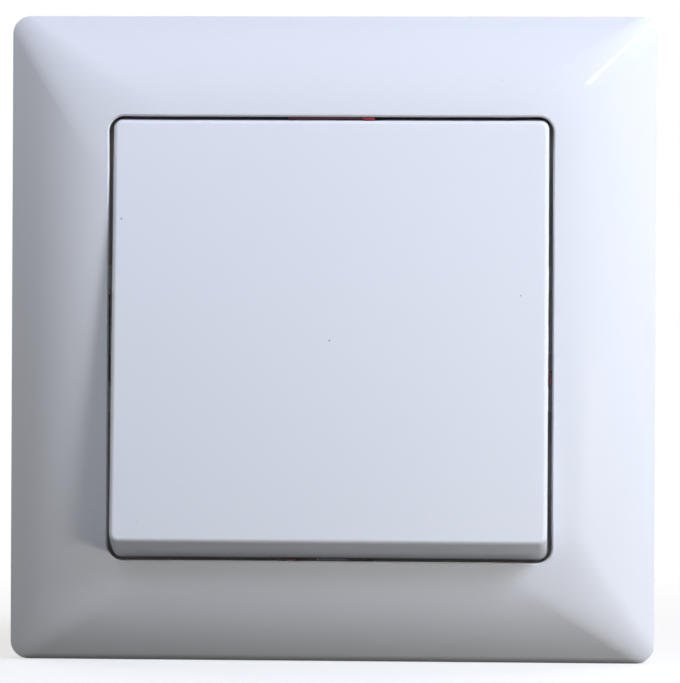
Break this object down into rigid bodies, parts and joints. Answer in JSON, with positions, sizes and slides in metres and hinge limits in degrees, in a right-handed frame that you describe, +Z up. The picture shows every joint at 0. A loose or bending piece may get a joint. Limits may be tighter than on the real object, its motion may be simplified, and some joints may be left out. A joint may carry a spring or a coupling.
{
  "type": "light switch",
  "caption": "Square flush-mounted rocker light switch: a cushion-shaped white frame round a wide rocker, with plate, claws, contacts and housing behind.",
  "frame": {"origin": "midway between the box-screw slots, on the wall's surface", "axes": "+X to the right and +Z up as the switch is seen on the wall, -Y out of the wall towards the user"},
  "size_m": [0.082, 0.0363, 0.082],
  "materials": {
    "frame_white": "polished white moulding",
    "rocker_white": "fine satin-gloss white moulding",
    "latch_red": "red moulding",
    "zinc_plate": "zinc-plated sheet steel",
    "housing_grey": "light grey thermoset moulding",
    "carrier_white": "natural white moulding",
    "plunger_black": "black low-friction moulding",
    "spring_steel": "drawn spring wire",
    "contact_brass": "pressed brass",
    "contact_silver": "silver contact rivet",
    "screw_steel": "passivated zinc-plated screw",
    "claw_steel": "zinc-plated bent strip"
  },
  "bodies": {
    "switch_body": {"cover_frame": "frame_white", "latch_ring": "latch_red", "mounting_plate": "zinc_plate", "housing_cover": "housing_grey", "switch_housing": "housing_grey", "common_terminal": "contact_brass", "fixed_contact_strip": "contact_brass", "fixed_contact": "contact_silver", "terminal_block_common": "contact_brass", "terminal_block_load": "contact_brass", "terminal_screws": "screw_steel"},
    "rocker": {"rocker_cap": "rocker_white", "rocker_carrier": "carrier_white", "toggle_plunger": "plunger_black", "toggle_spring": "spring_steel"},
    "lever": {"contact_lever": "contact_brass", "moving_contact": "contact_silver"},
    "left_screw": {"claw_screw_left": "screw_steel"},
    "right_screw": {"claw_screw_right": "screw_steel"},
    "left_claw": {"claw_left": "claw_steel"},
    "right_claw": {"claw_right": "claw_steel"}
  },
  "joints": [
    {"name": "rocker_hinge", "type": "hinge", "parent": "switch_body", "child": "rocker", "pos_m": [0, 0.0014, 0], "axis": [1, 0, 0], "range_deg": [0, 9]},
    {"name": "lever_hinge", "type": "hinge", "parent": "switch_body", "child": "lever", "pos_m": [0, 0.0137, 0], "axis": [1, 0, 0], "range_deg": [-15, 0]},
    {"name": "left_screw_feed", "type": "slide", "parent": "switch_body", "child": "left_screw", "axis": [0, 1, 0], "range_m": [0, 0.0024]},
    {"name": "right_screw_feed", "type": "slide", "parent": "switch_body", "child": "right_screw", "axis": [0, 1, 0], "range_m": [0, 0.0024]},
    {"name": "left_claw_hinge", "type": "hinge", "parent": "switch_body", "child": "left_claw", "pos_m": [-0.027, 0.0045, 0], "axis": [0, 0, 1], "range_deg": [0, 33.6]},
    {"name": "right_claw_hinge", "type": "hinge", "parent": "switch_body", "child": "right_claw", "pos_m": [0.027, 0.0045, 0], "axis": [0, 0, -1], "range_deg": [0, 33.6]}
  ],
  "couplings": [
    {"joint": "lever_hinge", "follows": "rocker_hinge", "ratio": -1.6666},
    {"joint": "left_claw_hinge", "follows": "left_screw_feed", "rad_per_m": 243.9},
    {"joint": "right_claw_hinge", "follows": "right_screw_feed", "rad_per_m": 243.9}
  ]
}
